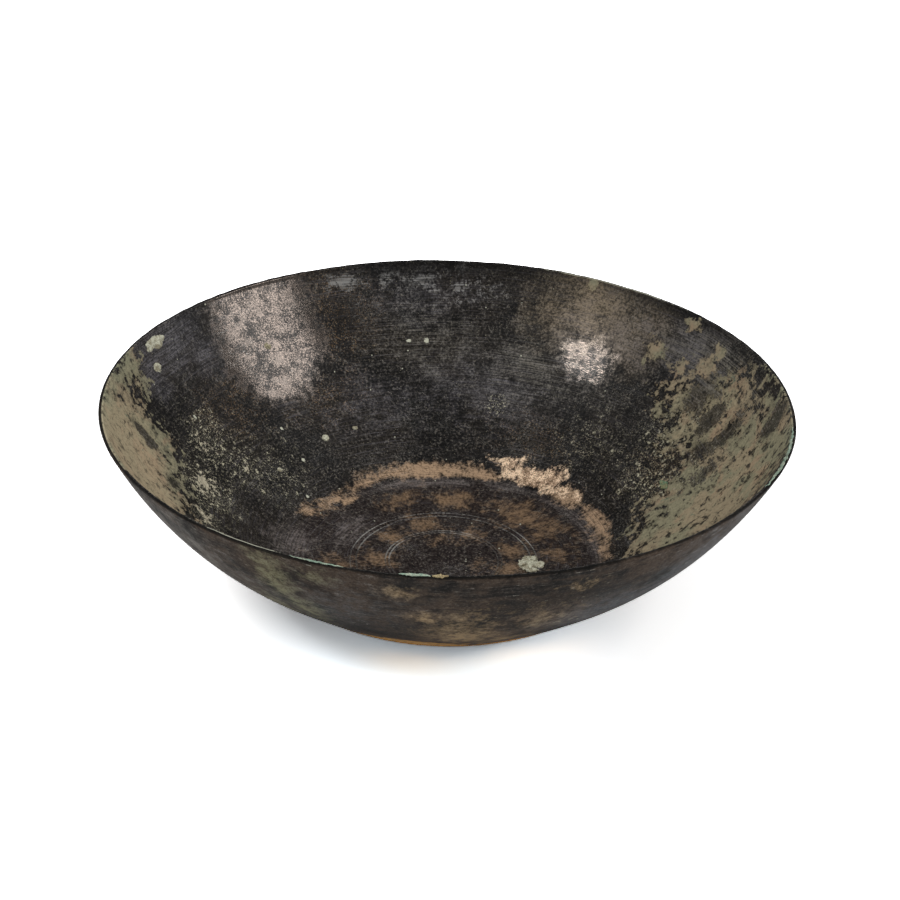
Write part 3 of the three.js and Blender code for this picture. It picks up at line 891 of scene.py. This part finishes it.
def makeFloor(look):
    selectNone()
    bpy.ops.mesh.primitive_plane_add(size=look["floorSize"], location=(0, 0, 0))
    floor = bpy.context.object
    floor.name = "floor"
    material = bpy.data.materials.new("paleFloor")
    material.use_nodes = True
    tree = material.node_tree
    tree.nodes.clear()
    path = tree.nodes.new("ShaderNodeLightPath").outputs
    seen = strongest(tree, path["Is Camera Ray"], path["Is Transmission Ray"])
    spot = tree.nodes.new("ShaderNodeTexCoord").outputs["Object"]
    out = vectorCalc(tree, "LENGTH", spot, (0, 0, 0), "Value")
    across, back, _ = addNode(tree, "ShaderNodeSeparateXYZ", {0: spot}).outputs
    # Painted shade: the camera sees a darker floor beside the bowl and to its right
    near = ease(tree, out, *look["nearReach"])
    beside = times(tree, ease(tree, apart(tree, across, 0.0), *look["besideReach"]), near)
    toRight = times(tree, ease(tree, across, *look["rightReach"]), near)
    shownTone = times(tree, look["floorToneSeen"], ease(tree, beside, 0.0, 1.0, 1.0, look["sideShadeTone"]),
                      ease(tree, toRight, 0.0, 1.0, 1.0, look["rightShadeTone"]))
    untinted = strongest(tree, beside, ease(tree, out, *look["untintedReach"]),
                         ease(tree, back, *look["untintedBack"]))
    tint = blend(tree, untinted, look["footTint"], (1, 1, 1, 1))
    shownTone = vectorCalc(tree, "MULTIPLY", tint, shownTone)
    white = blend(tree, seen, (*[look["floorTone"]] * 3, 1), shownTone)
    base = addNode(tree, "ShaderNodeBsdfDiffuse", {"Color": white})
    lit = strongest(tree, seen, path["Is Glossy Ray"])
    lift = addNode(tree, "ShaderNodeEmission", {"Color": look["floorLift"], "Strength": lit})
    both = addNode(tree, "ShaderNodeAddShader", {0: base.outputs[0], 1: lift.outputs[0]})
    output = tree.nodes.new("ShaderNodeOutputMaterial")
    tree.links.new(both.outputs[0], output.inputs[0])
    floor.data.materials.append(material)


def makeSky(look):
    world = bpy.data.worlds.new("sky")
    bpy.context.scene.world = world
    world.use_nodes = True
    tree = world.node_tree
    tree.nodes.clear()
    path = tree.nodes.new("ShaderNodeLightPath").outputs
    sight = tree.nodes.new("ShaderNodeTexCoord").outputs["Generated"]
    way = addNode(tree, "ShaderNodeSeparateXYZ", {0: sight})
    gloss = ease(tree, way.outputs[2], *look["horizon"], 1.0, look["skyInGloss"])
    strength = addNode(tree, "ShaderNodeMix", {0: path["Is Glossy Ray"], 2: look["skyForLight"], 3: gloss})
    shown = strongest(tree, path["Is Camera Ray"], path["Is Transmission Ray"])
    strength = addNode(tree, "ShaderNodeMix", {0: shown, 2: strength.outputs[0], 3: 1.0})
    sky = addNode(tree, "ShaderNodeBackground", {"Strength": strength.outputs[0]})
    output = tree.nodes.new("ShaderNodeOutputWorld")
    tree.links.new(sky.outputs[0], output.inputs[0])


def makeSoftbox(name, look):
    azimuth, elevation = math.radians(look["azimuth"]), math.radians(look["elevation"])
    outward = Vector((math.cos(azimuth) * math.cos(elevation), math.sin(azimuth) * math.cos(elevation),
                      math.sin(elevation)))
    light = bpy.data.lights.new(name, "AREA")
    light.shape = "RECTANGLE"
    light.size, light.size_y = look["width"], look["height"]
    light.energy = look["watts"]
    lamp = bpy.data.objects.new(name, light)
    lamp.location = outward * look["distance"] + Vector((0, 0, bowlHeight / 2))
    turned = outward.to_track_quat("Z", "Y").to_matrix() @ Matrix.Rotation(math.radians(look["roll"]), 3, "Z")
    lamp.rotation_euler = turned.to_euler()
    bpy.context.scene.collection.objects.link(lamp)


makeFloor(studio)
makeSky(studio)
makeSoftbox("rightSoftbox", studio["rightBox"])
makeSoftbox("leftSoftbox", studio["leftBox"])
print("studio made")
